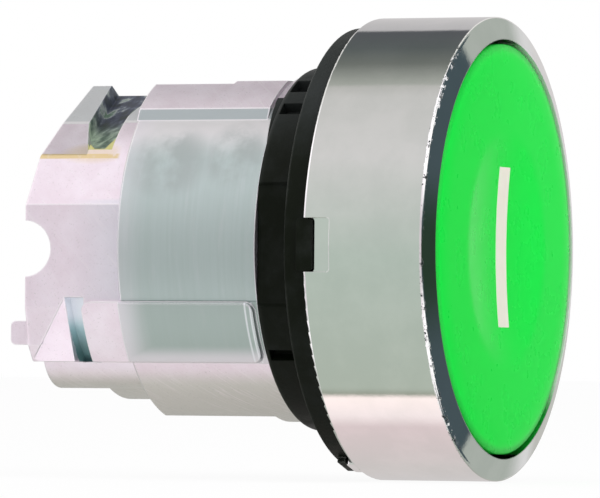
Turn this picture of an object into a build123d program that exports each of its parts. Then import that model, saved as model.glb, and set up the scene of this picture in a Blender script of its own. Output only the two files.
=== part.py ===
"""Operator head of a flush panel pushbutton, for a 22.5 mm hole.

Millimetres. The push axis is Y and the button faces -Y. Y = 0 is the face of the panel that the
gasket lies on, and Z is up along the bar mark. The near side is -X.
"""

import os
from math import cos, hypot, radians, sin, sqrt

from build123d import *

# clearances
PUSH_GAP = 0.3  # cap to bezel, radial
RUN = 0.08  # piston in its bore, radial
SLIDE = 0.3  # stem, bridge and key to what they pass
FIT = 0.05  # rubber and clipped pieces on what carries them
PRESS = 0.02  # pressed rings

# bezel
BEZEL_R = 14.5
BEZEL_WALL = 1.4
BEZEL_BORE_R = BEZEL_R - BEZEL_WALL
BEZEL_LEN = 8.12
BEZEL_CONE = 0.4  # how far the outer edge lies behind the inner one
BEZEL_SEAT_WALL = 1.2
BEZEL_SEAT_R = BEZEL_R - BEZEL_SEAT_WALL
RIM_ROUND = 0.18
NOTCH_DEPTH = 0.57  # through the wall, from the rear edge
NOTCH_ROUND = 0.2
RECESS_LEN = 1.15  # blind step in front of the notch
RECESS_DEPTH = 0.55
# angle from the near side, rising towards the top, and width
NOTCHES = ((0.0, 3.3), (180.0, 3.3))
TONGUES = ((-73.5, 1.8), (106.5, 1.8))
TONGUE_LEN = 0.6
TONGUE_BACK = 0.2  # outside of a tongue inside the bezel's outside

# radii of the body, each from the one inside it
BORE_R = 8.4  # piston bore
SEAL_LEDGE = 1.1
SEAL_SEAT_R = BORE_R + SEAL_LEDGE
NECK_WALL = 0.7
NECK_R = SEAL_SEAT_R + NECK_WALL
BARREL_STEP = 0.7
BARREL_R = NECK_R + BARREL_STEP
CROWN_RISE = 0.3
PASS_R = BARREL_R + CROWN_RISE  # largest radius that goes through the panel hole
STEP_BACK = 1.35
STEP_R = BARREL_R - STEP_BACK
REAR_WALL_STEP = 1.25
REAR_BORE_R = BORE_R - REAR_WALL_STEP

# panel gasket
FLANGE_BACK = 0.6  # edge of the flange inside the bezel's outside
GASKET_FLANGE_R = BEZEL_R - FLANGE_BACK
GASKET_FLANGE_T = 1.45
FLANGE_ROUND = 0.15
LUG_BACK = 0.3  # end of a lug inside the bezel's outside
LUG_R = BEZEL_R - LUG_BACK
STOP_LEN = 0.5  # lug behind each tongue
STOP_W = 2.0
SPIGOT_RISE = 0.25
SPIGOT_R = PASS_R + SPIGOT_RISE
SPIGOT_LEN = 2.98
SPIGOT_ROUND = 0.45
SPIGOT_FLAT_X = 10.5  # shallow recess on the near side
SPIGOT_FLAT_TOP = 3.7
SPIGOT_FLAT_BOTTOM = -3.5
SPIGOT_FLAT_LEAN = 0.8
LIP_ANGLES = (34.0, 57.0)  # raised lip on the spigot's end
LIP_LEN = 0.5
LIP_BACK = 0.1  # lip inside what goes through the hole
GRIP_SLOT_END = 2.58
GRIP_SLOT_DEPTH = 0.75
GRIP_SLOTS = ((61.5, 1.6), (48.5, 1.05), (-36.0, 0.8), (118.5, 1.6), (131.5, 1.05), (216.0, 0.8))

# die-cast body, outside
FLANGE_R = BEZEL_SEAT_R - PRESS
FLANGE_T = 1.2
TOP_FLAT_Z = 10.3
TOP_FLAT_START = 7.0
TOP_LAND_Z = 10.48  # in front of the top flat
BOTTOM_FLAT_Z = -10.55
BOTTOM_FLAT_START = 4.7
SHOULDER_Y = 12.28
STEP_Y = 15.63
REAR_Y = 18.83
CROWN_EDGE = (7.1, 8.64)  # where the raised crown of the barrel ends, (sideways, up)
CROWN_FOOT = (7.54, 7.87)
FLAT_X = 9.9
LEDGE_Z = -7.2
# corners of the faceted rear, (sideways, up): the ridge, then down each side
RIDGE = (0.8, 10.48)
LOWER_FLATS = ((7.6, 5.76), (FLAT_X, 2.62), (FLAT_X, -3.75), (9.1, LEDGE_Z))
NEAR_FACETS = ((-RIDGE[0], RIDGE[1]), (3.9, 8.02)) + LOWER_FLATS
FAR_FACETS = (RIDGE, (4.9, 8.75)) + LOWER_FLATS
UNDERSIDE_Z = -8.8
UNDERSIDE_HALF_W = 3.5
UNDERSIDE_CORNER_X = 6.8
CUP_R = 1.75  # half-round notch in the rear edge
CUP_Z = -0.14
TAB_LEN = 1.15
TAB_TOP = -4.66
TAB_BOTTOM = -6.16
TAB_X = 9.3
TAB_T = 1.4
TAB_ROOT = 1.0  # part of the tab inside the body
TAB_ROUND = 0.35

# bayonet pad, groove, ramp and entry slot
PAD_TOP = -3.48
PAD_BOTTOM = LEDGE_Z
PAD_START = 3.28
PAD_END = 14.83
PAD_ROUND = 0.6
REAR_PAD_RISE = 0.1
REAR_PAD_R = BARREL_R + REAR_PAD_RISE
GROOVE_W = 1.3
GROOVE_DEPTH = 1.5
GROOVE_R = REAR_PAD_R - GROOVE_DEPTH
GROOVE_RISE = 0.3  # how far it runs above the pad
RAMP_TOP_Z = -3.18
RAMP_FOOT_X = 8.0
RAMP_REAR_X = 8.75
RAMP_SINK = 0.2
SLOT_PHI = 64.0
SLOT_FLOOR = 7.95
# the slot's edge, (behind the shoulder, downwards), from its front lip round its lower end
SLOT_EDGE = (
    (1.45, -1.6),
    (1.75, 0.0),
    (1.75, 3.0),
    (2.25, 3.85),
    (2.95, 3.85),
    (3.55, 3.3),
    (4.2, 1.7),
    (4.6, 0.3),
)
SLOT_MOUTH = (2.15, 5.3)  # behind the shoulder, where it opens at the top
NEAR_SLOT_TOP = -7.0
FAR_SLOT_TOP = -2.4

# die-cast body, inside
SEAL_SEAT_DEPTH = 2.2
WEB_Y = 11.93
WEB_T = 1.5
KEY_W = 2.4
KEY_R = 7.7

# cap
CAP_WALL = 1.2
DISH_R = 54.0
DISH_BACK = 0.42  # dish centre behind the bezel's front edge
DISH_HALF_W = 6.9
CAP_RING_BACK = -0.06  # flat ring round the dish, just proud of the bezel
CAP_RING_R = 7.5
CAP_FACE_R = 11.0
CAP_BROW_BACK = 0.02  # where the brow of the face meets the rounded edge
CAP_EDGE_ROUND = 0.15
CAP_SKIRT_BACK = 2.4
CAP_HUB_R = 6.0
CAP_RIBS = 6
CAP_RIB_T = 0.9
TRAVEL = 4.3

# plunger
STUD_R = 4.3
STUD_FLAT_X = 3.6
COLLAR_REAR = -3.07
COLLAR_T = 1.0
PLUNGER_NECK_R = 4.6
PISTON_FRONT = 1.23
PISTON_LEN = 3.5
PISTON_WALL = 1.0
SPRING_SEAT_DEPTH = 2.0
STEM_R = 2.6
STEM_BORE_R = 1.3
STEM_END = 16.63
STEM_FLAT_X = 2.2  # flats that key the bridge and the cap
BEAD_GROOVE_R = 4.1
BEAD_GROOVE_Y = -1.77
BEAD_T = 0.9

# spring, diaphragm, retainer, bridge and clip
WIRE_R = 0.4
SPRING_INSET = 2.1
SPRING_R = BORE_R - SPRING_INSET
SPRING_TURNS = 5
SEAL_T = 0.5
SEAL_BEAD_W = 1.0
SEAL_ROLL = 1.0  # how far the rolled web bulges forward
RETAINER_T = 1.18
RETAINER_W = 2.1
RETAINER_BORE_R = SEAL_SEAT_R - RETAINER_W
BRIDGE_GAP = 0.35
BRIDGE_R = REAR_BORE_R - BRIDGE_GAP
BRIDGE_T = 1.6
FOOT_X = 5.3
FOOT_W = 2.0
FOOT_H = 4.6
FOOT_BACK = 0.8  # foot ends this far inside the rear edge
FOOT_ROUND = 0.5
EDGE_BREAK = 0.3
CAST_ROUND = 0.15
PAD_EDGE_ROUND = 0.12
CLIP_T = 0.6
CLIP_R = 4.1
CLIP_GROOVE_R = 2.1
CLIP_MOUTH = 3.4

# places that follow from the sizes above
BEZEL_REAR = -GASKET_FLANGE_T
FRONT = BEZEL_REAR - BEZEL_LEN
FLANGE_FRONT = BEZEL_REAR - FLANGE_T
CAP_R = BEZEL_BORE_R - PUSH_GAP
PISTON_R = BORE_R - RUN
DISH_EDGE = FRONT + DISH_BACK - (DISH_R - sqrt(DISH_R**2 - DISH_HALF_W**2))
CAP_UNDERSIDE = FRONT + DISH_BACK + CAP_WALL
CAP_SKIRT_END = FRONT + CAP_SKIRT_BACK
HUB_END = COLLAR_REAR - COLLAR_T
WEB_REAR = WEB_Y + WEB_T
BRIDGE_FRONT = WEB_REAR + FIT
BRIDGE_REAR = BRIDGE_FRONT + BRIDGE_T
SPRING_FRONT = PISTON_FRONT + PISTON_LEN - SPRING_SEAT_DEPTH


def across(y):
    """Sketch plane across the push axis: local x is X and local y is Z, extruding to -Y."""
    return Plane.XZ.offset(-y)


def tangent(phi, r):
    """Plane tangent to a cylinder at angle phi from the near side: local x is Y."""
    out = Vector(-cos(radians(phi)), 0, sin(radians(phi)))
    return Plane(origin=out * r, x_dir=(0, 1, 0), z_dir=out)


def half_section(points):
    """Half of a turned section, as (radius, place along the axis) pairs."""
    with BuildSketch() as section:
        with BuildLine():
            Polyline(*points, close=True)
        make_face()
    return section.sketch


# The bezel is a turned ring with a slightly conical front, keyed to the gasket at its rear edge.
with BuildPart() as bezel:
    add(
        half_section(
            [
                (BEZEL_BORE_R, FRONT),
                (BEZEL_R, FRONT + BEZEL_CONE),
                (BEZEL_R, BEZEL_REAR),
                (BEZEL_SEAT_R, BEZEL_REAR),
                (BEZEL_SEAT_R, FLANGE_FRONT),
                (BEZEL_BORE_R, FLANGE_FRONT),
            ]
        )
    )
    revolve(axis=Axis.Y)
    outer = bezel.edges().filter_by(GeomType.CIRCLE).group_by(SortBy.RADIUS)[-1]
    fillet(outer, RIM_ROUND)
    for phi, width in NOTCHES:
        with BuildSketch(tangent(phi, BEZEL_BORE_R)):
            with Locations((BEZEL_REAR, 0)):
                RectangleRounded(2 * NOTCH_DEPTH, width, NOTCH_ROUND)
        extrude(amount=BEZEL_R, mode=Mode.SUBTRACT)
        with BuildSketch(tangent(phi, BEZEL_R - RECESS_DEPTH)):
            with Locations((BEZEL_REAR - NOTCH_DEPTH, 0)):
                RectangleRounded(2 * RECESS_LEN, width, NOTCH_ROUND)
        extrude(amount=BEZEL_R, mode=Mode.SUBTRACT)
    for phi, width in TONGUES:
        with BuildSketch(tangent(phi, BEZEL_SEAT_R)):
            with Locations((BEZEL_REAR, 0)):
                RectangleRounded(2 * TONGUE_LEN, width, NOTCH_ROUND)
        extrude(amount=BEZEL_R - TONGUE_BACK - BEZEL_SEAT_R)
bezel.part.label = "bezel"

# The gasket seals behind the bezel, and its spigot centres the head in the panel hole.
with BuildPart() as panel_gasket:
    add(
        half_section(
            [
                (NECK_R + FIT, BEZEL_REAR),
                (GASKET_FLANGE_R, BEZEL_REAR),
                (GASKET_FLANGE_R, 0),
                (SPIGOT_R, 0),
                (SPIGOT_R, SPIGOT_LEN),
                (NECK_R + FIT, SPIGOT_LEN),
            ]
        )
    )
    revolve(axis=Axis.Y)
    spigot_end = panel_gasket.edges().filter_by(GeomType.CIRCLE).group_by(Axis.Y)[-1]
    fillet(spigot_end.sort_by(SortBy.RADIUS)[-1], SPIGOT_ROUND)
    flange_rim = panel_gasket.edges().filter_by(GeomType.CIRCLE).group_by(SortBy.RADIUS)[-1]
    fillet(flange_rim, FLANGE_ROUND)
    for phi, width in NOTCHES:
        with BuildSketch(tangent(phi, FLANGE_R + FIT)):
            with Locations((BEZEL_REAR, 0)):
                RectangleRounded(2 * (NOTCH_DEPTH - FIT), width - 2 * FIT, NOTCH_ROUND)
        extrude(amount=LUG_R - FLANGE_R - FIT)
    for phi, width in TONGUES:
        with BuildSketch(tangent(phi, BEZEL_SEAT_R - FIT)):
            with Locations((BEZEL_REAR, 0)):
                Rectangle(2 * (TONGUE_LEN + FIT), width + 2 * FIT)
        extrude(amount=BEZEL_R, mode=Mode.SUBTRACT)
        with BuildSketch(tangent(phi, FLANGE_R + FIT)):
            with Locations((BEZEL_REAR + TONGUE_LEN + FIT + STOP_LEN / 2, 0)):
                Rectangle(STOP_LEN, STOP_W)
        extrude(amount=LUG_R - FLANGE_R - FIT)
    with BuildSketch(across(0)):
        with BuildLine():
            Polyline(
                (-SPIGOT_FLAT_X, SPIGOT_FLAT_TOP),
                (-SPIGOT_R, SPIGOT_FLAT_TOP + SPIGOT_FLAT_LEAN),
                (-2 * SPIGOT_R, SPIGOT_FLAT_TOP + SPIGOT_FLAT_LEAN),
                (-2 * SPIGOT_R, SPIGOT_FLAT_BOTTOM - SPIGOT_FLAT_LEAN),
                (-SPIGOT_R, SPIGOT_FLAT_BOTTOM - SPIGOT_FLAT_LEAN),
                (-SPIGOT_FLAT_X, SPIGOT_FLAT_BOTTOM),
                close=True,
            )
        make_face()
    extrude(amount=-SPIGOT_LEN, mode=Mode.SUBTRACT)
    with BuildSketch(across(SPIGOT_LEN - SPIGOT_ROUND)):
        with BuildLine():
            outer_lip = CenterArc(
                (0, 0), PASS_R - LIP_BACK, 180 - LIP_ANGLES[1], LIP_ANGLES[1] - LIP_ANGLES[0]
            )
            inner_lip = CenterArc(
                (0, 0), BARREL_R + FIT, 180 - LIP_ANGLES[1], LIP_ANGLES[1] - LIP_ANGLES[0]
            )
            Line(outer_lip @ 0, inner_lip @ 0)
            Line(outer_lip @ 1, inner_lip @ 1)
        make_face()
    extrude(amount=-(SPIGOT_ROUND + LIP_LEN))
    with BuildSketch(Plane.YZ):
        with BuildLine():
            Polyline(
                (SPIGOT_LEN, SPIGOT_R * sin(radians(LIP_ANGLES[0]))),
                (SPIGOT_LEN + LIP_LEN, SPIGOT_R * sin(radians(LIP_ANGLES[1]))),
                (SPIGOT_LEN + 2 * LIP_LEN, SPIGOT_R * sin(radians(LIP_ANGLES[1]))),
                (SPIGOT_LEN + 2 * LIP_LEN, 0),
                (SPIGOT_LEN, 0),
                close=True,
            )
        make_face()
    extrude(amount=-SPIGOT_R, mode=Mode.SUBTRACT)
    for phi, width in GRIP_SLOTS:
        with BuildSketch(tangent(phi, SPIGOT_R - GRIP_SLOT_DEPTH)):
            Rectangle(GRIP_SLOT_END, width, align=(Align.MIN, Align.CENTER))
        extrude(amount=SPIGOT_R, mode=Mode.SUBTRACT)
panel_gasket.part.label = "panel_gasket"

# The die-cast body: a turned front with the seal seat, and a faceted rear with the bayonet forms.
ramp_top = Vector(-FLAT_X, PAD_END + GROOVE_W, RAMP_TOP_Z)
ramp_rear = Vector(-RAMP_REAR_X, REAR_Y - RAMP_SINK, LEDGE_Z + RAMP_SINK)
ramp_foot = Vector(-RAMP_FOOT_X, PAD_END + GROOVE_W, PAD_BOTTOM - RAMP_SINK)
ramp_normal = (ramp_foot - ramp_top).cross(ramp_rear - ramp_top).normalized()
ramp_out = ramp_normal if ramp_normal.X < 0 else -ramp_normal
ramp_plane = Plane(origin=ramp_top, x_dir=ramp_rear - ramp_top, z_dir=ramp_out)

with BuildPart() as operator_body:
    add(
        half_section(
            [
                (0, FLANGE_FRONT),
                (FLANGE_R, FLANGE_FRONT),
                (FLANGE_R, BEZEL_REAR),
                (NECK_R, BEZEL_REAR),
                (NECK_R, SPIGOT_LEN + FIT),
                (BARREL_R, SPIGOT_LEN + FIT),
                (BARREL_R, SHOULDER_Y - CAST_ROUND),
                (BARREL_R - CAST_ROUND, SHOULDER_Y),
                (STEP_R, SHOULDER_Y),
                (STEP_R, STEP_Y),
                (0, STEP_Y),
            ]
        )
    )
    revolve(axis=Axis.Y)
    # raised crown along the top of the barrel, then the flats on the crown and underneath
    crown_start = SPIGOT_LEN + LIP_LEN + FIT
    with BuildSketch(across(crown_start)):
        Circle(PASS_R)
        with BuildSketch(mode=Mode.INTERSECT):
            with BuildLine():
                Polyline(
                    (-CROWN_FOOT[0], CROWN_FOOT[1]),
                    (-CROWN_EDGE[0], CROWN_EDGE[1]),
                    (-CROWN_EDGE[0], PASS_R),
                    (CROWN_EDGE[0], PASS_R),
                    CROWN_EDGE,
                    CROWN_FOOT,
                    close=True,
                )
            make_face()
    extrude(amount=-(SHOULDER_Y - crown_start))
    for flat_z, start in (
        (TOP_LAND_Z, crown_start),
        (TOP_FLAT_Z, TOP_FLAT_START),
        (BOTTOM_FLAT_Z, BOTTOM_FLAT_START),
    ):
        with BuildSketch(Plane.XY.offset(flat_z)):
            with Locations((0, (start + SHOULDER_Y) / 2)):
                Rectangle(2 * BARREL_R, SHOULDER_Y - start)
        extrude(amount=flat_z, mode=Mode.SUBTRACT)
    # faceted rear with the lower flats and the underside
    with BuildSketch(across(SHOULDER_Y)) as rear_section:
        with BuildLine():
            for side, corners in ((-1, NEAR_FACETS), (1, FAR_FACETS)):
                Polyline(
                    *[(side * x, z) for x, z in corners],
                    (side * UNDERSIDE_CORNER_X, LEDGE_Z),
                )
                TangentArc(
                    (side * UNDERSIDE_CORNER_X, LEDGE_Z),
                    (side * UNDERSIDE_HALF_W, UNDERSIDE_Z),
                    tangent=(-side * 0.45, -0.9),
                )
            Line((-UNDERSIDE_HALF_W, UNDERSIDE_Z), (UNDERSIDE_HALF_W, UNDERSIDE_Z))
        make_face()
        Circle(PASS_R, mode=Mode.INTERSECT)
    extrude(amount=-(REAR_Y - SHOULDER_Y))
    fillet(operator_body.faces().sort_by(Axis.Y)[-1].edges(), CAST_ROUND)
    # bayonet pad on each side, from behind the gasket to the locking groove
    for side in (-1, 1):
        with BuildSketch(Plane.YZ.offset(side * NECK_R * 0.6)):
            with Locations(((PAD_START + PAD_END) / 2, (PAD_TOP + PAD_BOTTOM) / 2)):
                RectangleRounded(PAD_END - PAD_START, PAD_TOP - PAD_BOTTOM, PAD_ROUND)
        extrude(amount=side * PASS_R)
    for pad_r, start, end in ((PASS_R, PAD_START, SHOULDER_Y), (REAR_PAD_R, SHOULDER_Y, PAD_END)):
        with BuildSketch(across(start)):
            Circle(2 * PASS_R)
            Circle(pad_r, mode=Mode.SUBTRACT)
        extrude(amount=-(end - start), mode=Mode.SUBTRACT)
    pad_rim = [
        edge
        for edge in operator_body.edges()
        if abs(hypot(edge.center().X, edge.center().Z) - PASS_R) < FIT
        and PAD_START - FIT < edge.center().Y < SHOULDER_Y - FIT
        and PAD_BOTTOM - FIT < edge.center().Z < PAD_TOP + FIT
    ]
    fillet(pad_rim, PAD_EDGE_ROUND)
    # locking groove behind the pad
    groove_h = PAD_TOP + GROOVE_RISE - PAD_BOTTOM
    with BuildSketch(across(PAD_END)):
        with Locations((0, PAD_BOTTOM + groove_h / 2)):
            Rectangle(4 * PASS_R, groove_h)
        Circle(GROOVE_R, mode=Mode.SUBTRACT)
    extrude(amount=-GROOVE_W, mode=Mode.SUBTRACT)
    # ramp from the groove to the rear corner
    with BuildSketch(ramp_plane) as ramp:
        with BuildLine():
            Polyline(
                *[
                    (ramp_plane.to_local_coords(p).X, ramp_plane.to_local_coords(p).Y)
                    for p in (ramp_top, ramp_rear, ramp_rear * 2 - ramp_top, ramp_foot)
                ],
                close=True,
            )
        make_face()
    extrude(amount=PASS_R, mode=Mode.SUBTRACT)
    # entry slot over the shoulder, widening towards the top
    for phi, lift, top in ((SLOT_PHI, 1, NEAR_SLOT_TOP), (180 - SLOT_PHI, -1, FAR_SLOT_TOP)):
        with BuildSketch(tangent(phi, SLOT_FLOOR)):
            with BuildLine():
                Polyline(
                    (SHOULDER_Y + SLOT_MOUTH[0], top * lift),
                    *[(SHOULDER_Y + back, down * lift) for back, down in SLOT_EDGE],
                    (SHOULDER_Y + SLOT_MOUTH[1], top * lift),
                    close=True,
                )
            make_face()
        extrude(amount=PASS_R, mode=Mode.SUBTRACT)
    # half-round notch in the middle of each flat's rear edge, and the locating tab
    with BuildSketch(Plane.YZ.offset(-PASS_R)):
        with Locations((REAR_Y, CUP_Z)):
            Circle(CUP_R)
    extrude(amount=2 * PASS_R, mode=Mode.SUBTRACT)
    with BuildSketch(Plane.YZ.offset(-TAB_X)):
        with Locations((REAR_Y + (TAB_LEN - TAB_ROOT) / 2, (TAB_TOP + TAB_BOTTOM) / 2)):
            RectangleRounded(TAB_LEN + TAB_ROOT, TAB_TOP - TAB_BOTTOM, TAB_ROUND)
    extrude(amount=TAB_T)
    # bores: seal seat, piston bore, stem hole in the web, rear chamber and its keyway
    for start, end, bore_r in (
        (FLANGE_FRONT, FLANGE_FRONT + SEAL_SEAT_DEPTH, SEAL_SEAT_R),
        (FLANGE_FRONT, WEB_Y, BORE_R),
        (WEB_Y, WEB_REAR, STEM_R + SLIDE),
        (WEB_REAR, REAR_Y, REAR_BORE_R),
    ):
        with BuildSketch(across(start)):
            Circle(bore_r)
        extrude(amount=-(end - start), mode=Mode.SUBTRACT)
    with BuildSketch(across(WEB_REAR)):
        with Locations((0, -KEY_R / 2 - SLIDE)):
            Rectangle(KEY_W + 2 * SLIDE, KEY_R)
    extrude(amount=-(REAR_Y - WEB_REAR), mode=Mode.SUBTRACT)
operator_body.part.label = "operator_body"

# The cap is a shallow moulded cup with a dished face, ribs and a hub that clips on the plunger.
with BuildPart() as button_cap:
    with BuildSketch() as cap_section:
        with BuildLine():
            dish = ThreePointArc(
                (0, FRONT + DISH_BACK),
                (DISH_HALF_W / 2, FRONT + DISH_BACK - DISH_R + sqrt(DISH_R**2 - DISH_HALF_W**2 / 4)),
                (DISH_HALF_W, DISH_EDGE),
            )
            TangentArc(dish @ 1, (CAP_RING_R, FRONT + CAP_RING_BACK), tangent=dish % 1)
            ring = Line((CAP_RING_R, FRONT + CAP_RING_BACK), (CAP_FACE_R, FRONT + CAP_RING_BACK))
            brow_end = (CAP_R - CAP_EDGE_ROUND, FRONT + CAP_BROW_BACK)
            brow = TangentArc(ring @ 1, brow_end, tangent=ring % 1)
            edge_end = (CAP_R, FRONT + CAP_BROW_BACK + CAP_EDGE_ROUND)
            TangentArc(brow @ 1, edge_end, tangent=brow % 1)
            Polyline(
                edge_end,
                (CAP_R, CAP_SKIRT_END),
                (CAP_R - CAP_WALL, CAP_SKIRT_END),
                (CAP_R - CAP_WALL, CAP_UNDERSIDE),
                (CAP_HUB_R, CAP_UNDERSIDE),
                (CAP_HUB_R, HUB_END),
                (STUD_R + FIT, HUB_END),
                (STUD_R + FIT, CAP_UNDERSIDE),
                (0, CAP_UNDERSIDE),
                (0, FRONT + DISH_BACK),
            )
        make_face()
    revolve(axis=Axis.Y)
    rib_len = CAP_R - CAP_WALL - CAP_HUB_R
    with BuildSketch(across(CAP_UNDERSIDE)):
        with PolarLocations(CAP_HUB_R + rib_len / 2, CAP_RIBS):
            Rectangle(rib_len + CAP_WALL, CAP_RIB_T)
    extrude(amount=-(CAP_SKIRT_END - CAP_UNDERSIDE))
    with BuildSketch(across(CAP_UNDERSIDE)):
        Circle(STUD_R + 2 * FIT)
        with Locations((-STUD_R, 0)):
            Rectangle(2 * (STUD_R - STUD_FLAT_X - FIT), 2 * STUD_R, mode=Mode.INTERSECT)
    extrude(amount=-(HUB_END - CAP_UNDERSIDE))
button_cap.part.label = "button_cap"

# The plunger carries the cap, slides in the piston bore and reaches through the web.
with BuildPart() as plunger:
    add(
        half_section(
            [
                (0, CAP_UNDERSIDE + FIT),
                (STUD_R, CAP_UNDERSIDE + FIT),
                (STUD_R, HUB_END),
                (CAP_HUB_R, HUB_END),
                (CAP_HUB_R, COLLAR_REAR),
                (PLUNGER_NECK_R, COLLAR_REAR),
                (PLUNGER_NECK_R, BEAD_GROOVE_Y),
                (BEAD_GROOVE_R, BEAD_GROOVE_Y),
                (BEAD_GROOVE_R, BEAD_GROOVE_Y + BEAD_T),
                (PLUNGER_NECK_R, BEAD_GROOVE_Y + BEAD_T),
                (PLUNGER_NECK_R, PISTON_FRONT),
                (PISTON_R, PISTON_FRONT),
                (PISTON_R, PISTON_FRONT + PISTON_LEN),
                (PISTON_R - PISTON_WALL, PISTON_FRONT + PISTON_LEN),
                (PISTON_R - PISTON_WALL, SPRING_FRONT),
                (STEM_R, SPRING_FRONT),
                (STEM_R, BRIDGE_REAR + FIT),
                (CLIP_GROOVE_R, BRIDGE_REAR + FIT),
                (CLIP_GROOVE_R, BRIDGE_REAR + 3 * FIT + CLIP_T),
                (STEM_R, BRIDGE_REAR + 3 * FIT + CLIP_T),
                (STEM_R, STEM_END),
                (STEM_BORE_R, STEM_END),
                (STEM_BORE_R, PISTON_FRONT),
                (0, PISTON_FRONT),
            ]
        )
    )
    revolve(axis=Axis.Y)
    with BuildSketch(across(CAP_UNDERSIDE)):
        with Locations((-STUD_R, 0)):
            Rectangle(2 * (STUD_R - STUD_FLAT_X), 2 * STUD_R)
    extrude(amount=-(HUB_END - CAP_UNDERSIDE), mode=Mode.SUBTRACT)
    with BuildSketch(across(WEB_REAR - TRAVEL)):
        Rectangle(4 * STEM_R, 4 * STEM_R)
        Rectangle(2 * STEM_FLAT_X, 4 * STEM_R, mode=Mode.SUBTRACT)
    extrude(amount=-(STEM_END - WEB_REAR + TRAVEL), mode=Mode.SUBTRACT)
plunger.part.label = "plunger"

# Rubber diaphragm: an outer bead in the seal seat, a rolled web and a bead in the plunger's groove.
roll_out = RETAINER_BORE_R - 2 * FIT
roll_in = PLUNGER_NECK_R + FIT
web_front = FLANGE_FRONT + RETAINER_T + FIT
roll_mid = (roll_in + roll_out) / 2
with BuildPart() as diaphragm_seal:
    with BuildSketch() as seal_section:
        with BuildLine():
            ThreePointArc(
                (roll_out, web_front), (roll_mid, web_front - SEAL_ROLL), (roll_in, BEAD_GROOVE_Y + FIT)
            )
            Polyline(
                (roll_in, BEAD_GROOVE_Y + FIT),
                (BEAD_GROOVE_R + FIT, BEAD_GROOVE_Y + FIT),
                (BEAD_GROOVE_R + FIT, BEAD_GROOVE_Y + BEAD_T - FIT),
                (roll_in, BEAD_GROOVE_Y + BEAD_T - FIT),
                (roll_in, BEAD_GROOVE_Y + BEAD_T - 2 * FIT),
            )
            ThreePointArc(
                (roll_in, BEAD_GROOVE_Y + BEAD_T - 2 * FIT),
                (roll_mid, web_front - SEAL_ROLL + SEAL_T),
                (roll_out, web_front + SEAL_T),
            )
            Polyline(
                (roll_out, web_front + SEAL_T),
                (SEAL_SEAT_R - FIT - SEAL_BEAD_W, web_front + SEAL_T),
                (SEAL_SEAT_R - FIT - SEAL_BEAD_W, FLANGE_FRONT + SEAL_SEAT_DEPTH - FIT),
                (SEAL_SEAT_R - FIT, FLANGE_FRONT + SEAL_SEAT_DEPTH - FIT),
                (SEAL_SEAT_R - FIT, web_front),
                (roll_out, web_front),
            )
        make_face()
    revolve(axis=Axis.Y)
diaphragm_seal.part.label = "diaphragm_seal"

# The retainer ring is pressed into the seal seat over the diaphragm's bead.
with BuildPart() as seal_retainer:
    with BuildSketch(across(FLANGE_FRONT)):
        Circle(SEAL_SEAT_R - PRESS)
        Circle(RETAINER_BORE_R, mode=Mode.SUBTRACT)
    extrude(amount=-RETAINER_T)
    chamfer(seal_retainer.faces().sort_by(Axis.Y)[0].inner_wires()[0].edges(), EDGE_BREAK)
seal_retainer.part.label = "seal_retainer"

# Return spring with ends ground flat, between the piston and the web.
with BuildPart() as return_spring:
    spring_front = SPRING_FRONT + FIT
    spring_len = WEB_Y - FIT - spring_front
    pitch = (spring_len - WIRE_R) / SPRING_TURNS
    with BuildLine() as coil:
        Helix(
            pitch=pitch,
            height=spring_len - WIRE_R,
            radius=SPRING_R,
            center=(0, spring_front + WIRE_R / 2, 0),
            direction=(0, 1, 0),
        )
    with BuildSketch(Plane(origin=coil.line @ 0, z_dir=coil.line % 0)):
        Circle(WIRE_R)
    sweep(path=coil.line, is_frenet=True)
    with BuildSketch(across(spring_front)):
        Circle(SPRING_R + 2 * WIRE_R)
    extrude(amount=-spring_len, mode=Mode.INTERSECT)
return_spring.part.label = "return_spring"

# The bridge's key runs in the body's keyway, and its two feet push the contact blocks.
with BuildPart() as contact_bridge:
    with BuildSketch(across(BRIDGE_FRONT)):
        Circle(BRIDGE_R)
        with Locations((0, -KEY_R / 2)):
            Rectangle(KEY_W, KEY_R)
        with BuildSketch(mode=Mode.SUBTRACT):
            Circle(STEM_R + FIT)
            Rectangle(2 * (STEM_FLAT_X + FIT), 4 * STEM_R, mode=Mode.INTERSECT)
    extrude(amount=-BRIDGE_T)
    with BuildSketch(across(BRIDGE_REAR)):
        with GridLocations(2 * FOOT_X, 0, 2, 1):
            RectangleRounded(FOOT_W, FOOT_H, FOOT_ROUND)
    extrude(amount=-(REAR_Y - FOOT_BACK - BRIDGE_REAR))
    fillet(contact_bridge.faces().group_by(Axis.Y)[-1].edges(), EDGE_BREAK)
contact_bridge.part.label = "contact_bridge"

# The clip snaps into the stem's groove behind the bridge.
with BuildPart() as retaining_clip:
    with BuildSketch(across(BRIDGE_REAR + 2 * FIT)):
        Circle(CLIP_R)
        Circle(CLIP_GROOVE_R + FIT, mode=Mode.SUBTRACT)
        with Locations((0, -CLIP_R)):
            Rectangle(CLIP_MOUTH, 2 * CLIP_R, mode=Mode.SUBTRACT)
    extrude(amount=-CLIP_T)
retaining_clip.part.label = "retaining_clip"

os.makedirs("parts", exist_ok=True)
for piece in (
    bezel,
    button_cap,
    plunger,
    diaphragm_seal,
    seal_retainer,
    return_spring,
    operator_body,
    panel_gasket,
    contact_bridge,
    retaining_clip,
):
    export_step(piece.part, f"parts/{piece.part.label}.step")
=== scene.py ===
# %% [markdown]
# # The operator head of a flush pushbutton
# The real object is a small machine: a bright turned ring, a moulded cap that slides in it, a rubber
# gasket and a die-cast body with the forms that lock it in a panel. Every solid is already made to
# size in the CAD source. This lesson dresses those solids: it loads them, gives each one the finish
# of its real material, adds the pale bar on the cap and a coil of its own for the spring, and lights
# it all as in a small studio.

# %% Load the frame
import bmesh
import bpy
import numpy as np
from math import cos, radians, sin
from mathutils import Matrix, Vector


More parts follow.
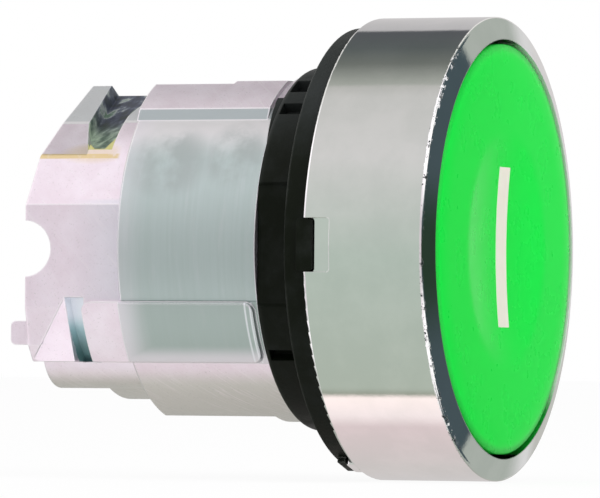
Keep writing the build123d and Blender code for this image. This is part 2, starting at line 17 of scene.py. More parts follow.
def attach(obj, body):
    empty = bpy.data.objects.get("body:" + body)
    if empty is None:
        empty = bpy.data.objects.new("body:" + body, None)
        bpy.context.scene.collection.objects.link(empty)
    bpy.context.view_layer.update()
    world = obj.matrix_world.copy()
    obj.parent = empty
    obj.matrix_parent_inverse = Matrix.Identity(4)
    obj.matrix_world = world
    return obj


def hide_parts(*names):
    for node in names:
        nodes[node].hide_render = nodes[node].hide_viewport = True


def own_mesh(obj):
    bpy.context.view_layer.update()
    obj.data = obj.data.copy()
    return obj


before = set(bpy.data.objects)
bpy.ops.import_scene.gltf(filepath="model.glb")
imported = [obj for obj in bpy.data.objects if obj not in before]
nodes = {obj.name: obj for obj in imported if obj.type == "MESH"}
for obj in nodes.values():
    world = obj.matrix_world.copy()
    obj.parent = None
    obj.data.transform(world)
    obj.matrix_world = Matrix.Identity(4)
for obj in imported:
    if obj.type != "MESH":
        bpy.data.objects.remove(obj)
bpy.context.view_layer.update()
print("nodes:", ", ".join(sorted(nodes)))

# %% [markdown]
# ## Sizes
# The frame is in metres, with the push axis along Y, the button facing -Y and Z up. Patterns are
# easier to think of in millimetres, so the sizes below are in millimetres too, and MM turns them
# into metres. They repeat the few sizes of the CAD source that the finishes and the mark need.

# %% Sizes in millimetres
MM = 0.001
BEZEL_FRONT_Y = -9.57
BEZEL_R = 14.5
BORE_R = 13.1
DISH_R = 54.0
DISH_CENTRE_Y = -9.15
BARREL_R = 10.9
SHOULDER_Y = 12.28
PAD_BOTTOM_Z = -7.2
CROWN_Z = 8.64
CROWN_FOOT_Z = 7.87
SLOT_ANGLE = 64.0
PAD_TOP_Z = -3.48
PAD_END = 14.83
GROOVE_W = 1.3
FACET_EDGE_Z = 5.76
RIDGE_FOOT_Z = 7.9

# %% [markdown]
# ## Shader maths as expressions
# A material is a tree of nodes. Written out, each sum needs a node, two links and a value, and the
# thought behind it is lost. The small class below wraps one output socket: adding or multiplying
# two of them adds the Math node, so a mask reads like the formula that it is. Every other node
# comes from the method add, which sets the node's settings first and then its sockets.


# %% A wire of a node tree
class Wire:
    """One output socket of a node tree. Arithmetic on wires adds Math nodes to the tree."""

    def __init__(self, tree, socket=None):
        self.tree = tree
        self.socket = socket

    def add(self, kind, settings=None, sockets=None, out=0):
        """A new node of that kind: its settings first, then its sockets, by name or number."""
        node = self.tree.nodes.new("ShaderNode" + kind)
        for name, value in (settings or {}).items():
            if name == "stops":
                while len(node.color_ramp.elements) < len(value):
                    node.color_ramp.elements.new(1.0)
                for stop, (place, colour) in zip(node.color_ramp.elements, value):
                    stop.position = place
                    stop.color = (*colour, 1.0)
            else:
                setattr(node, name, value)
        for name, value in (sockets or {}).items():
            if isinstance(value, Wire):
                self.tree.links.new(value.socket, node.inputs[name])
            else:
                node.inputs[name].default_value = value
        return Wire(self.tree, node.outputs[out])

    def maths(self, operation, *others):
        """The Math node of this wire and the others, in that order."""
        return self.add("Math", {"operation": operation}, dict(enumerate((self, *others))))

    def __add__(self, other):
        return self.maths("ADD", other)

    def __sub__(self, other):
        return self.maths("SUBTRACT", other)

    def __mul__(self, other):
        return self.maths("MULTIPLY", other)

    def __rsub__(self, other):
        return self.maths("MULTIPLY_ADD", -1.0, other)

    __radd__ = __add__
    __rmul__ = __mul__

    def step(self, start, end):
        """0 below start and 1 above end, eased in between. With start above end it falls instead."""
        rises = start < end
        sockets = {
            "From Min": min(start, end),
            "From Max": max(start, end),
            "To Min": 0.0 if rises else 1.0,
            "To Max": 1.0 if rises else 0.0,
        }
        return self.add(
            "MapRange", {"interpolation_type": "SMOOTHSTEP"}, {"Value": self, **sockets}
        )

    def between(self, low, high, soft):
        """1 from low to high, easing to 0 over a width of soft on either side."""
        return self.step(low - soft, low) * self.step(high + soft, high)

    def mix(self, first, second):
        """The colour first where this wire is 0, second where it is 1."""
        return self.add("Mix", {"data_type": "RGBA"}, {0: self, 6: first, 7: second}, out=2)


# %% [markdown]
# ## Where a point of the surface is
# Patterns are laid out in the object's own millimetres, so they stay on the piece when it moves.
# A turned or moulded round piece is easiest to describe by three numbers: how far along the push
# axis, how far from it, and the angle round it, 0 on the near side and rising towards the top.
#
# A finish is then one Principled shader with constants on its own sockets and patterns by wire. Two
# of its methods look at edges. No real edge is perfectly sharp, so the normal is averaged over a
# fraction of a millimetre, and where that average leaves the true normal, an edge mask is found: on
# the body it marks wear together with a painted highlight, on the rubber a painted highlight.


# %% Places and patterns on a piece
class Place:
    """The place of a surface point in millimetres: x, y, z, the radius and the angle in radians."""

    def __init__(self, tree):
        self.wire = Wire(tree)
        spot = self.wire.add("TexCoord", out=3)
        self.point = self.wire.add(
            "VectorMath", {"operation": "SCALE"}, {0: spot, "Scale": 1.0 / MM}
        )
        self.x, self.y, self.z = (
            self.wire.add("SeparateXYZ", None, {0: self.point}, out=axis) for axis in range(3)
        )
        self.radius = (self.x * self.x + self.z * self.z).maths("SQRT")
        self.angle = self.z.maths("ARCTAN2", self.x * -1.0)

    def vector(self, a, b, c):
        """A vector from three wires or numbers."""
        return self.wire.add("CombineXYZ", None, {0: a, 1: b, 2: c})

    def noise(self, per_mm, detail=3.0, roughness=0.55, at=None):
        """Soft noise about 0.5, with that many lumps per millimetre."""
        sockets = {"Scale": per_mm, "Detail": detail, "Roughness": roughness}
        return self.wire.add("TexNoise", None, {"Vector": at or self.point, **sockets})

    def rings(self, per_mm, drift=0.25):
        """Noise drawn out round the push axis, as a turning tool leaves it."""
        at = self.vector(self.y * per_mm, self.angle * drift * per_mm, self.radius * 0.4)
        return self.noise(1.0, 4.0, 0.65, at)

    def scratches(self, lean, per_mm, length):
        """Noise drawn out into strokes that lean by that many degrees from the push axis."""
        c, s = cos(radians(lean)), sin(radians(lean))
        round_way = self.angle * BARREL_R
        along = self.y * c + round_way * s
        across = round_way * c - self.y * s
        return self.noise(1.0, 3.0, 0.6, self.vector(along * (1.0 / length), across * per_mm, 0.0))


class Finish:
    """A material with one Principled shader: constants on its own sockets, patterns by wire."""

    def __init__(self, name, **constants):
        self.material = bpy.data.materials.new(name)
        self.material.use_nodes = True
        self.tree = self.material.node_tree
        self.shader = self.tree.nodes["Principled BSDF"]
        self.place = Place(self.tree)
        for key, value in constants.items():
            self.shader.inputs[key.replace("_", " ")].default_value = value

    def feed(self, **wires):
        """Links wires to the shader's sockets."""
        for key, wire in wires.items():
            self.tree.links.new(wire.socket, self.shader.inputs[key.replace("_", " ")])

    def rounded(self, edge_mm):
        """The normal averaged over edge_mm, as if the edges were rounded that much."""
        return self.place.wire.add("Bevel", {"samples": 6}, {"Radius": edge_mm * MM})

    def edges(self, edge_mm):
        """1 along sharp edges: where the cosine between rounded and plain normal falls below 1."""
        plain = self.place.wire.add("NewGeometry", out=1)
        both = {0: self.rounded(edge_mm), 1: plain}
        cosine = plain.add("VectorMath", {"operation": "DOT_PRODUCT"}, both, out=1)
        return cosine.step(0.996, 0.975)

    def relief(self, height, depth_mm, edge_mm=0.0):
        """Bump of that depth in millimetres, over edges that look rounded to edge_mm."""
        sockets = {"Height": height, "Distance": depth_mm * MM, "Strength": 1.0}
        if edge_mm:
            sockets["Normal"] = self.rounded(edge_mm)
        self.feed(Normal=height.add("Bump", None, sockets))

    def dress(self, *names):
        """Puts the finish on these CAD nodes."""
        for name in names:
            nodes[name].data.materials.clear()
            nodes[name].data.materials.append(self.material)
        print(self.material.name, "on", ", ".join(names))


# %% [markdown]
# ## The bright bezel
# The ring is turned and plated, so it is nearly a mirror: almost all of its look comes from the
# lights. What makes it a real surface is small: a very fine turned grain, a roughness that drifts
# a little, a duller wall in the bore, and a front edge that has been knocked. There the plating has
# chips, which are pale and matt, and small dark pits.

# %% Bezel finish
chrome = Finish("bright_plating", Metallic=1.0)
at = chrome.place
grain = at.rings(14.0, 0.05)
haze = at.noise(0.35, 4.0)
edge = (
    at.radius.step(BEZEL_R - 0.24, BEZEL_R - 0.17)
    * at.y.step(BEZEL_FRONT_Y + 0.62, BEZEL_FRONT_Y + 0.54)
    * at.x.maths("ABSOLUTE").step(5.0, 8.0)
)
chipped = edge * at.z.maths("ABSOLUTE").between(4.5, 10.8, 1.5)
chips = chipped * at.noise(2.2, 5.0, 0.7).step(0.54, 0.58)
pits = edge * at.noise(2.9, 5.0, 0.75).step(0.44, 0.40)
bore = at.radius.step(BORE_R + 0.09, BORE_R + 0.03) * at.x.step(0.5, 4.0) * at.z.step(-10.5, -8.0)
tint = haze.step(0.35, 0.7).mix((0.87, 0.87, 0.86, 1.0), (0.93, 0.92, 0.915, 1.0))
chrome.feed(
    Base_Color=pits.mix(chips.mix(tint, (0.95, 0.95, 0.95, 1.0)), (0.03, 0.04, 0.04, 1.0)),
    Metallic=1.0 - 0.75 * chips - 0.5 * pits - 0.7 * bore,
    Roughness=0.03 + 0.03 * haze.step(0.3, 0.8) + 0.02 * grain.step(0.4, 0.7) + 0.4 * chips,
)
ripple = 0.08 * grain + 0.16 * at.noise(2.0, 4.0, 0.6) + 0.6 * at.noise(0.3, 2.0)
chrome.relief(ripple, 0.01, 0.06)
chrome.dress("bezel")

# %% [markdown]
# ## The green cap
# The cap is an injection-moulded cup in a saturated green, glossy but not polished: the mould leaves
# a faint texture that softens what it mirrors. The colour is even, and only a very slow drift and a
# slightly darker skirt keep it from looking like paint from a tube. Most of the drift is painted
# light, a green that grows lighter towards the far side. The rim of its dish runs out softly, so the
# normals are averaged over a whole millimetre here.

# %% Cap finish
cap = Finish("cap_green", IOR=1.46, Specular_IOR_Level=0.28)
at = cap.place
# painted light: most of the drift is a ramp that makes the green lighter towards the far side
drift = 0.3 * at.noise(0.12, 2.0) + 0.7 * at.x.step(-9.0, 9.0)
face = drift.mix((0.006, 0.82, 0.060, 1.0), (0.013, 0.92, 0.082, 1.0))
skirt = at.radius.step(BORE_R - 0.9, BORE_R - 0.4)
cap.feed(
    Base_Color=(skirt * 0.5).mix(face, (0.02, 0.55, 0.06, 1.0)),
    Roughness=0.24 + 0.08 * at.noise(0.5, 3.0),
)
cap.relief(at.noise(5.0, 2.0), 0.0008, 1.0)
cap.dress("button_cap")

# %% [markdown]
# ## Rubber
# The panel gasket and the diaphragm are black rubber with a faint bloom. A grain about a quarter of
# a millimetre wide breaks up the sheen, and the bloom lies in slow patches. The top is painted
# paler, a painted sheen. Along the edges of the flange's outer rim runs a pale painted highlight.

# %% Rubber finish
rubber = Finish("black_rubber", IOR=1.5, Specular_IOR_Level=0.1)
at = rubber.place
bloom = at.noise(0.6, 4.0).step(0.4, 0.75)
# painted sheen: the rubber is painted paler towards the top, on top of the real bloom
bloom_and_painted_sheen = bloom * 0.25 + at.z.step(5.0, 10.5) * 0.9
coal = bloom_and_painted_sheen.mix((0.0022, 0.0042, 0.0012, 1.0), (0.024, 0.028, 0.027, 1.0))
# painted highlight: a pale line along the edges of the flange's outer rim
rim = at.radius.step(13.0, 13.4) * at.z.maths("ABSOLUTE").step(2.0, 3.0) * 0.7
rubber.feed(
    Base_Color=(rubber.edges(0.12) * rim).mix(coal, (0.10, 0.11, 0.10, 1.0)),
    Roughness=0.44 + 0.18 * bloom,
)
rubber.relief(at.noise(4.0, 4.0, 0.7), 0.02, 0.12)
rubber.dress("panel_gasket", "diaphragm_seal")

# %% [markdown]
# ## Die-cast body
# The body is cast in zinc and then turned on the barrel, and its finish changes from place to place.
# Each face could have a material of its own, but wear and stains cross from one face to the next.
# So there is one material, and masks by place say what lies where. The first masks are general: a
# round spot, the two flanks, edges that are worn and also painted with a highlight, fine specks, and
# the part of the barrel that was turned.

# %% Body masks
zinc = Finish("die_cast_zinc")
at = zinc.place


def blot(y, z, wide, tall):
    """1 in the middle of a soft spot of that size, 0 outside it."""
    off = (at.y - y) * (1.0 / wide), (at.z - z) * (1.0 / tall)
    return (off[0] * off[0] + off[1] * off[1]).step(1.0, 0.1)


side = at.x.maths("ABSOLUTE")
flanks = side.step(5.0, 6.0)
# sharp edges, painted pale further down as wear together with a painted highlight
worn_and_highlit_edges = zinc.edges(0.14)
specks = at.noise(7.0, 3.0, 0.7).step(0.60, 0.70)
turned = (
    at.radius.step(BARREL_R - 0.15, BARREL_R - 0.05)
    * at.y.between(2.0, SHOULDER_Y - 0.05, 0.04)
    * at.z.between(PAD_BOTTOM_Z, CROWN_Z, 0.06)
)

# %% [markdown]
# ## Cast faces
# A casting keeps the skin of its mould, pale and slightly warm, with fine strokes from tumbling. It
# is greyer on the flanks behind the shoulder and duller underneath, and the ridge over the slot is
# cooler, with a painted highlight, a bright line, along its foot. Each line below lays one colour
# over the last.

# %% Cast faces
strokes = at.scratches(52.0, 6.0, 3.0)
cloud = at.noise(0.5, 5.0, 0.6)
cast = cloud.step(0.3, 0.7).mix((0.88, 0.78, 0.85, 1.0), (0.94, 0.86, 0.93, 1.0))
behind_shoulder = at.y.step(16.5, 12.6) * side.step(9.6, 9.8) * at.z.step(-3.6, -3.2)
cast = (behind_shoulder * 0.6).mix(cast, (0.74, 0.76, 0.82, 1.0))
underneath = at.z.step(PAD_BOTTOM_Z - 0.2, PAD_BOTTOM_Z - 1.5)
cast = (underneath * 0.85).mix(cast, (0.68, 0.71, 0.64, 1.0))
rubbed = strokes.step(0.52, 0.72) * (0.25 + 0.35 * at.y.step(9.0, 6.0))
cast = rubbed.mix(cast, (0.98, 0.94, 0.96, 1.0))
ridge = at.z.step(RIDGE_FOOT_Z - 0.06, RIDGE_FOOT_Z)
brow = ridge * at.y.step(SHOULDER_Y + 0.4, SHOULDER_Y + 0.9)
cast = (brow * 0.7).mix(cast, (0.76, 0.82, 0.81, 1.0))
# painted highlight: a bright line along the foot of the ridge
brow_painted_highlight = brow * at.z.step(RIDGE_FOOT_Z + 0.16, RIDGE_FOOT_Z + 0.08)
cast = brow_painted_highlight.mix(cast, (1.0, 0.98, 1.0, 1.0))
cast = (specks * 0.35).mix(cast, (0.45, 0.46, 0.42, 1.0))

# %% [markdown]
# ## Turned barrel
# The tool leaves rings round the barrel in a grey-green metal. Painted light makes it lighter near
# the top, at the shoulder and along the foot of the pad, and two soft dark spots along its upper
# near side are painted shade. Two fine painted highlights cross the pad, and painted shade darkens
# the step under the crown, while a painted shadow darkens the line over the pad.

# %% Turned barrel
tool_rings = at.rings(4.0, 0.3)
lathe = tool_rings.step(0.2, 0.85).mix((0.46, 0.55, 0.53, 1.0), (0.50, 0.585, 0.575, 1.0))
scuffs = at.noise(1.0, 4.0, 0.6, at.vector(at.y * 1.6, at.angle * 2.2, 0.0))
lathe = (0.35 * scuffs.step(0.52, 0.72)).mix(lathe, (0.58, 0.62, 0.63, 1.0))
# painted light: the barrel is painted lighter towards its top
lathe = at.z.step(5.2, 7.4).mix(lathe, (0.76, 0.75, 0.76, 1.0))
# painted shade: two soft dark spots along the upper near side of the barrel, broken up by noise
painted_shade_spots = blot(9.4, 5.2, 3.4, 2.6).maths("MAXIMUM", blot(5.0, 5.6, 2.4, 2.4))
painted_shade_spots = painted_shade_spots * at.noise(0.45, 4.0).step(0.3, 0.62)
lathe = (0.8 * painted_shade_spots).mix(lathe, (0.38, 0.43, 0.42, 1.0))
on_pad = at.z.between(PAD_BOTTOM_Z, PAD_TOP_Z, 0.03)
lathe = (on_pad * 0.6).mix(lathe, (0.38, 0.45, 0.42, 1.0))
# painted light: lighter by the shoulder and along the foot of the pad
painted_light_by_shoulder = at.y.step(10.2, SHOULDER_Y) * (0.3 + 0.5 * on_pad + 0.4 * at.z.step(6.0, 8.0))
painted_light_on_pad_foot = on_pad * at.z.step(PAD_BOTTOM_Z + 1.1, PAD_BOTTOM_Z + 0.2)
lathe = painted_light_by_shoulder.maths("MAXIMUM", painted_light_on_pad_foot * 0.8).mix(lathe, (0.80, 0.77, 0.82, 1.0))
# painted highlights: two fine pale lines across the pad
pad_end_highlights = on_pad * (at.y.between(3.44, 3.5, 0.04) + at.y.between(3.76, 3.84, 0.04))
lathe = (pad_end_highlights * 0.65).mix(lathe, (0.90, 0.92, 0.96, 1.0))
# painted shade: the step under the crown is darker
shade_under_crown = at.z.between(CROWN_FOOT_Z + 0.08, CROWN_Z - 0.05, 0.04)
lathe = shade_under_crown.mix(lathe, (0.41, 0.46, 0.465, 1.0))
# painted shadow: a dark line just over the top of the pad
shadow_over_pad = at.z.between(PAD_TOP_Z + 0.04, PAD_TOP_Z + 0.10, 0.04)
lathe = (shadow_over_pad * 0.6).mix(lathe, (0.16, 0.20, 0.20, 1.0))
metal = turned.mix(cast, lathe)
# wear and painted highlight: the edges are painted pale
metal = (worn_and_highlit_edges * 0.8).mix(metal, (0.98, 0.95, 0.97, 1.0))

# %% [markdown]
# ## Groove behind the pad
# No tool reaches into the groove, so it stays teal. Painted light makes its top pale, and painted
# shade makes it darker downwards. Its outer lip is worn unevenly: adding noise to the radius before
# the step makes the border between them ragged.

# %% Groove
in_groove = (
    at.y.between(PAD_END - 0.02, PAD_END + GROOVE_W + 0.03, 0.02)
    * (at.radius + 0.5 * at.noise(3.0, 3.0)).step(10.6, 10.45)
    * at.z.between(PAD_BOTTOM_Z + 0.02, PAD_TOP_Z + 0.28, 0.02)
    * flanks
)
# painted shade darkens the teal downwards, and painted light makes the top of the groove pale
teal_and_painted_shade = at.z.step(-4.9, -6.8).mix((0.50, 0.72, 0.74, 1.0), (0.14, 0.28, 0.28, 1.0))
metal = in_groove.mix(metal, at.z.step(-5.4, -4.2).mix(teal_and_painted_shade, (0.90, 0.96, 1.0, 1.0)))

# %% [markdown]
# ## Entry slots
# A slot crosses the shoulder on each side of the body, in a plane that leans by SLOT_ANGLE. Measured
# down that plane, its front edge has a shallow bend and its rear edge two straight parts, and the
# mask is the space between them. Inside, streaks of noise run down it, from near black through blue
# to green. The near-black and blue streaks with their pale glints are painted shade and painted
# reflection, the green is a stain, and an olive rim has dried round its lower end.

# %% Entry slots
SLOT_FRONT_Y = SHOULDER_Y + 1.45
SLOT_REAR_Y = SHOULDER_Y + 4.66
SLOT_BEND = 0.3
SLOT_FOOT = 3.9
# near black, blue and the pale glint are painted shade and painted reflection; the dark green is
# stain
SHADE_AND_STAIN_STOPS = [
    (0.36, (0.020, 0.028, 0.026)),
    (0.46, (0.040, 0.048, 0.080)),
    (0.54, (0.11, 0.13, 0.17)),
    (0.60, (0.40, 0.44, 0.42)),
    (0.67, (0.12, 0.20, 0.14)),
]
slope = radians(SLOT_ANGLE)
hollow = in_groove
for outward, top in ((at.x * -1.0, -7.2), (at.x, -2.4)):
    down = outward * sin(slope) - at.z * cos(slope)
    below = down - SLOT_BEND
    front_edge = ((down + 1.6).maths("ABSOLUTE") * 0.13).maths("MINIMUM", 0.3) + SLOT_FRONT_Y
    back_edge = SLOT_REAR_Y - (below * 0.096).maths("MAXIMUM", below * 0.34)
    in_slot = (
        (at.y - front_edge).step(-0.03, 0.03)
        * (back_edge - at.y).step(-0.03, 0.03)
        * down.between(top, SLOT_FOOT, 0.05)
        * at.z.step(4.6, 5.0)
    )
    streak_at = at.vector((at.y - 0.28 * down) * 1.2, down * 0.5, at.radius * 0.8)
    streaks = at.noise(1.0, 5.0, 0.6, streak_at)
    shade_and_stain = streaks.add("ValToRGB", {"stops": SHADE_AND_STAIN_STOPS}, {0: streaks})
    green = streaks.step(0.38, 0.60).mix((0.08, 0.15, 0.10, 1.0), (0.50, 0.64, 0.47, 1.0))
    shade_and_stain = (down.step(-2.4, 0.8) * 0.85).mix(shade_and_stain, green)
    rim = (at.y - front_edge).step(0.75, 0.35) * down.step(1.8, 2.6)
    olive = (down + 0.6 * streaks).step(3.0, 3.5).maths("MAXIMUM", rim)
    shade_and_stain = (0.85 * olive).mix(shade_and_stain, (0.56, 0.52, 0.15, 1.0))
    metal = (in_slot * 0.97).mix(metal, shade_and_stain)
    hollow = hollow.maths("MAXIMUM", in_slot)

# %% [markdown]
# ## Dried passivation, and the whole finish
# Passivation pooled along the lower edge of the facet below the slot and round the slot's end, and
# dried yellow. With that the colour is complete. The hollows are less metallic than the faces, and
# the bump follows the same masks: the cast skin off the barrel, the tool's rings on it.

# %% Body finish
pooled = (
    (at.z - FACET_EDGE_Z + 0.05).between(-0.13, 0.10, 0.08)
    * at.y.between(13.6, 18.7, 0.3)
    * flanks
    * at.noise(1.4, 3.0).step(0.25, 0.45)
)
halo = blot(15.2, 5.9, 2.6, 0.8) * (1.0 - hollow) * at.y.step(13.2, 13.8) * 0.45
metal = pooled.maths("MAXIMUM", halo).mix(metal, (0.80, 0.64, 0.36, 1.0))
zinc.feed(
    Base_Color=metal,
    Metallic=0.85 - 0.55 * hollow,
    Roughness=0.36 - 0.04 * turned + 0.10 * at.noise(1.2, 4.0) + 0.08 * specks,
)
cast_skin = 0.6 * at.noise(3.0, 4.0, 0.6) + 0.4 * strokes
zinc.relief((1.0 - turned) * cast_skin + turned * 0.2 * tool_rings, 0.012, 0.12)
zinc.dress("operator_body")

# %% [markdown]
# ## The pieces inside
# They show only from behind and through the stem's hole: a grey moulded plunger and bridge, and the
# spring, clip and retainer in drawn or stamped steel. The plastic has a fine eroded-mould texture,
# and the steel has lines that follow the way it was worked.

# %% Plastic and steel
moulded = Finish("grey_plastic", IOR=1.48, Specular_IOR_Level=0.4)
at = moulded.place
moulded.feed(
    Base_Color=at.noise(0.8, 4.0).mix((0.075, 0.078, 0.082, 1.0), (0.12, 0.122, 0.126, 1.0)),
    Roughness=0.42 + 0.14 * at.noise(5.0, 3.0),
)
moulded.relief(at.noise(8.0, 3.0, 0.6), 0.008, 0.08)
moulded.dress("plunger", "contact_bridge")

steel = Finish("spring_steel", Metallic=1.0)
at = steel.place
drawn = at.noise(1.0, 3.0, 0.6, at.vector(at.radius * 14.0, at.angle * 2.0, at.y * 14.0))
steel.feed(
    Base_Color=drawn.mix((0.50, 0.50, 0.51, 1.0), (0.68, 0.68, 0.68, 1.0)),
    Roughness=0.26 + 0.16 * drawn,
)
steel.relief(drawn, 0.004, 0.04)
steel.dress("return_spring", "retaining_clip", "seal_retainer")

# %% [markdown]
# ## The spring
# A solid keeps its shape, but a real spring shortens as the button goes in. Here the coil is a piece
# of its own: a copy of the solid's mesh, with its loose triangles joined, attached to the housing.

# %% Return spring
coil_mesh = nodes["return_spring"].data.copy()
joined = bmesh.new()
joined.from_mesh(coil_mesh)
bmesh.ops.remove_doubles(joined, verts=joined.verts, dist=1e-7)
joined.to_mesh(coil_mesh)
joined.free()
coil = bpy.data.objects.new("return_coil", coil_mesh)
bpy.context.scene.collection.objects.link(coil)
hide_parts("return_spring")
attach(coil, "housing")
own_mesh(coil)
print("coil:", len(coil.data.polygons), "faces")

# %% [markdown]
# ## The bar on the cap
# The plain bar is the usual sign for on. On the real cap it is a second shot of pale plastic, level
# with the dish. It could be painted on by a mask, but an edge in a mask is soft, and the bar would
# then not be a piece that can be taken off. So it is a thin closed slab of its own that follows the
# dish: a grid across and along the bar, laid on the dish's sphere, with a top, a bottom and sides.

# %% Bar mark
BAR_LENGTH = 10.0
BAR_WIDTH = 1.96
BAR_UP = 0.13
BAR_ASIDE = 0.2
BAR_PROUD = 0.02
BAR_SUNK = 0.12


def dish_y(x, z):
    """Where the dish is along the push axis: its centre less the sagitta of a sphere there."""
    return DISH_CENTRE_Y - (DISH_R - np.sqrt(DISH_R**2 - x**2 - z**2))


def closed_box(low, high):
    """Vertices and faces of a slab between two matching grids of points, joined round their rim."""
    rows, columns = low.shape[:2]
    index = np.arange(rows * columns).reshape(rows, columns)
    quads = np.stack([index[:-1, :-1], index[1:, :-1], index[1:, 1:], index[:-1, 1:]], -1)
    quads = quads.reshape(-1, 4)
    rim = np.concatenate([index[0, :-1], index[:-1, -1], index[-1, :0:-1], index[:0:-1, 0]])
    ahead = np.roll(rim, -1)
    shift = rows * columns
    sides = np.stack([rim, ahead, ahead + shift, rim + shift], -1)
    faces = np.concatenate([quads, quads[:, ::-1] + shift, sides])
    return np.concatenate([low.reshape(-1, 3), high.reshape(-1, 3)]), faces


def piece_from(name, points_mm, faces):
    """A mesh object at the origin from points in millimetres and quads."""
    mesh = bpy.data.meshes.new(name)
    mesh.from_pydata((points_mm * MM).tolist(), [], faces.tolist())
    mesh.validate()
    piece = bpy.data.objects.new(name, mesh)
    bpy.context.scene.collection.objects.link(piece)
    return piece


across, along = np.meshgrid(
    np.linspace(BAR_ASIDE - BAR_WIDTH / 2, BAR_ASIDE + BAR_WIDTH / 2, 9),
    np.linspace(BAR_UP - BAR_LENGTH / 2, BAR_UP + BAR_LENGTH / 2, 49),
)
dish = dish_y(across, along)
outside = np.stack([across, dish - BAR_PROUD, along], -1)
inside = np.stack([across, dish + BAR_SUNK, along], -1)
bar = piece_from("bar_mark", *closed_box(outside, inside))
pale = Finish("bar_white", IOR=1.46, Specular_IOR_Level=0.35)
at = pale.place
pale.feed(
    Base_Color=at.noise(0.9, 4.0).mix((0.90, 0.85, 0.73, 1.0), (0.95, 0.91, 0.82, 1.0)),
    Roughness=0.34 + 0.1 * at.noise(3.0, 3.0),
)
pale.relief(at.noise(9.0, 2.0), 0.002)
bar.data.materials.append(pale.material)
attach(bar, "button")
print("bar mark:", len(bar.data.polygons), "faces")

# %% [markdown]
# ## Camera
# The photograph looks at the near side, turned a little towards the button, from far away with a
# long lens, so that parallel edges stay parallel. The direction is given by a turn and a lift, the
# scale by the lens, and the camera's place by where the bezel's front centre falls in the picture.

# %% Camera
TURN = 20.8
LIFT = -1.05
ROLL = 0.4
DISTANCE = 400.0
PICTURE_W = 600
PIXELS_PER_MM = 16.025
CENTRE_RIGHT = 12.849
CENTRE_DOWN = 0.019

turn, lift, roll = radians(TURN), radians(LIFT), radians(ROLL)
back = Vector((-cos(turn) * cos(lift), -sin(turn) * cos(lift), sin(lift)))
level = (-back).cross(Vector((0.0, 0.0, 1.0))).normalized()
upright = level.cross(-back)
right = level * cos(roll) + upright * sin(roll)
up = upright * cos(roll) - level * sin(roll)

camera = bpy.data.objects.new("camera", bpy.data.cameras.new("camera"))
bpy.context.scene.collection.objects.link(camera)
bpy.context.scene.camera = camera
bezel_centre = Vector((0.0, BEZEL_FRONT_Y, 0.0))
place = bezel_centre - right * CENTRE_RIGHT + up * CENTRE_DOWN + back * DISTANCE
facing = Matrix((right, up, back)).transposed().to_4x4()
camera.matrix_world = Matrix.Translation(place * MM) @ facing
camera.data.sensor_width = 36.0
camera.data.lens = PIXELS_PER_MM * DISTANCE * camera.data.sensor_width / PICTURE_W
camera.data.clip_start = 0.02
camera.data.clip_end = 20.0
print("lens", round(camera.data.lens, 1), "mm")

# %% [markdown]
# ## Floor
# The head rests its bezel on a plain white floor. The floor is white to the camera by a share of
# Light Path's camera ray, and keeps a soft shadow. Seen from below it is clear, so that it never
# hides the object in a low view, and it leaves the mirror of the bezel to the studio's dome.

# %% Floor
FLOOR_HALF = 3000.0
FLOOR_GAP = 0.05
corners = np.array([(-1, -1, 0), (1, -1, 0), (1, 1, 0), (-1, 1, 0)]) * FLOOR_HALF
floor = piece_from("floor", corners - (0, 0, BEZEL_R + FLOOR_GAP), np.array([(0, 1, 2, 3)]))
white = bpy.data.materials.new("floor_white")
white.use_nodes = True
tree = white.node_tree
tree.nodes.remove(tree.nodes["Principled BSDF"])
wire = Wire(tree)
ray = wire.add("LightPath", out=0)
below = wire.add("NewGeometry", out=6)
matt = wire.add("BsdfDiffuse", None, {"Color": (0.92, 0.92, 0.92, 1.0)})
shining = wire.add("Emission", None, {"Color": (1.0, 1.0, 1.0, 1.0), "Strength": 1.0})
shown = wire.add("MixShader", None, {0: ray * 0.93, 1: matt, 2: shining})
clear = wire.add("BsdfTransparent")
both = wire.add("MixShader", None, {0: below, 1: shown, 2: clear})
tree.links.new(both.socket, tree.nodes["Material Output"].inputs["Surface"])
floor.data.materials.append(white)
floor.visible_glossy = False

# %% [markdown]
# ## Studio dome
# A mirror shows its surroundings, so the bezel needs some: a soft dome in place of the studio's
# walls. Round the push axis it goes from grey-green walls in front to a dark strip of ceiling, a
# pale backdrop behind and a warm pale table below. Its turn round the axis is all that a cylinder
# shows, so one ramp of a few stops describes it. The camera itself sees plain white.

# %% Dome
world = bpy.data.worlds.new("studio")
bpy.context.scene.world = world
world.use_nodes = True
tree = world.node_tree
wire = Wire(tree)
toward = wire.add("TexCoord", out=0)
east, ahead, high = (wire.add("SeparateXYZ", None, {0: toward}, out=axis) for axis in range(3))
around = high.maths("ARCTAN2", east * -1.0) * (180.0 / np.pi)
# degrees round the push axis, 0 towards the near side and 90 overhead, and the light there
AROUND = [
    (-180.0, (0.62, 0.60, 0.60)),
    (-140.0, (0.65, 0.61, 0.60)),
    (-100.0, (0.76, 0.64, 0.65)),
    (-92.0, (1.0, 0.89, 0.89)),
    (-79.1, (1.14, 1.0, 0.97)),
    (-78.3, (0.32, 0.34, 0.28)),
    (-74.0, (0.46, 0.52, 0.45)),
    (-5.0, (0.48, 0.56, 0.50)),
    (45.0, (0.66, 0.66, 0.65)),
    (80.0, (0.60, 0.60, 0.585)),
    (87.0, (0.52, 0.52, 0.50)),
    (88.5, (0.40, 0.42, 0.385)),
    (104.0, (0.165, 0.18, 0.165)),
    (118.0, (0.105, 0.120, 0.120)),
    (137.5, (0.10, 0.105, 0.115)),
    (139.5, (0.52, 0.51, 0.52)),
    (180.0, (0.66, 0.64, 0.64)),
]
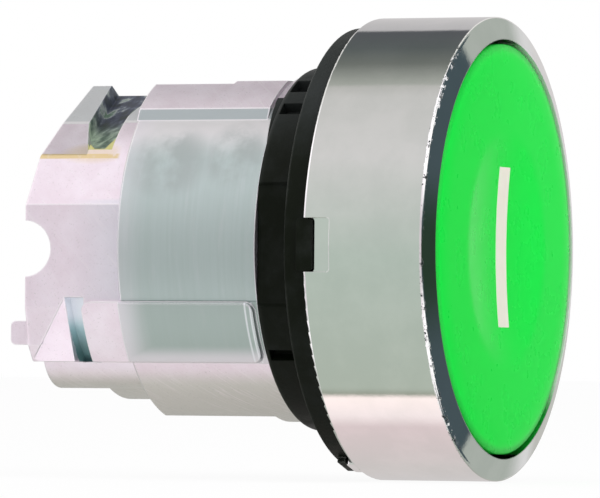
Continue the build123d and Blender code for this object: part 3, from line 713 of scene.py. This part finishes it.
# the same for the rest of the room, which only rough surfaces show
ROOM = [
    (-180.0, (0.55, 0.55, 0.52)),
    (-130.0, (0.36, 0.38, 0.34)),
    (-108.0, (0.38, 0.42, 0.37)),
    (-86.0, (0.80, 0.80, 0.80)),
    (-50.0, (1.36, 1.30, 1.34)),
    (-15.0, (0.72, 0.66, 0.70)),
    (12.0, (0.70, 0.64, 0.68)),
    (42.0, (1.34, 1.28, 1.34)),
    (75.0, (1.38, 1.32, 1.38)),
    (104.0, (0.98, 0.98, 0.94)),
    (180.0, (0.66, 0.64, 0.64)),
]
ring, room = (
    wire.add(
        "ValToRGB",
        {"stops": [(angle / 360.0 + 0.5, colour) for angle, colour in ramp]},
        {0: around * (1.0 / 360.0) + 0.5},
    )
    for ramp in (AROUND, ROOM)
)
walls = ahead.between(0.28, 0.43, 0.06).mix(room, ring)
# in front of the button: degrees from the far side towards the front, and above level
swing = (ahead * -1.0).maths("ARCTAN2", east) * (180.0 / np.pi)
lean = high.maths("ARCSINE").maths("ABSOLUTE") * (180.0 / np.pi)
window = swing.step(14.0, 6.0) * lean.step(16.0, 12.0)
front = window.mix((0.42, 0.46, 0.42, 1.0), (0.72, 0.72, 0.72, 1.0))
flag = (swing.step(8.0, 20.0) * lean.step(8.6, 7.6)).maths("MAXIMUM", swing.step(31.5, 33.0))
dark = lean.step(2.0, 9.0).mix((0.024, 0.046, 0.030, 1.0), (0.062, 0.090, 0.102, 1.0))
front = flag.mix(front, dark)
softbox = swing.step(76.0, 79.0) * lean.between(20.0, 50.0, 12.0)
front = softbox.mix(front, (1.25, 1.25, 1.25, 1.0))
dome = (ahead.step(-0.02, -0.10) * swing.step(135.0, 125.0)).mix(walls, front)
view_ray = wire.add("LightPath", out=0)
sky = view_ray.mix(dome, (1.0, 1.0, 1.0, 1.0))
tree.links.new(sky.socket, tree.nodes["Background"].inputs["Color"])

# %% [markdown]
# ## Lamps
# Two large soft lamps light what is not a mirror: one on the camera's side above the button, one
# lower and further back. They are hidden from mirrors, where the dome already stands for them.

# %% Lamps
def soft_lamp(name, place_mm, size_mm, strength):
    """A square area lamp aimed at the middle of the head. Strength is the radiance of its face."""
    lamp = bpy.data.lights.new(name, "AREA")
    lamp.size = size_mm * MM
    lamp.energy = strength * np.pi * lamp.size**2
    holder = bpy.data.objects.new(name, lamp)
    bpy.context.scene.collection.objects.link(holder)
    aim = Vector((0.0, 5.0, 0.0)) - Vector(place_mm)
    facing = aim.to_track_quat("-Z", "Y").to_matrix().to_4x4()
    holder.matrix_world = Matrix.Translation(Vector(place_mm) * MM) @ facing
    holder.visible_glossy = False
    print(name, "gives", round(lamp.energy, 4), "W")


soft_lamp("key_lamp", (-260.0, -420.0, 260.0), 360.0, 2.6)
soft_lamp("side_lamp", (-420.0, 160.0, 160.0), 300.0, 1.2)

# %% [markdown]
# ## Colours as written
# The Standard view shows a colour as it is written, so the finishes above can be read as numbers.

# %% View settings
bpy.context.scene.view_settings.view_transform = "Standard"
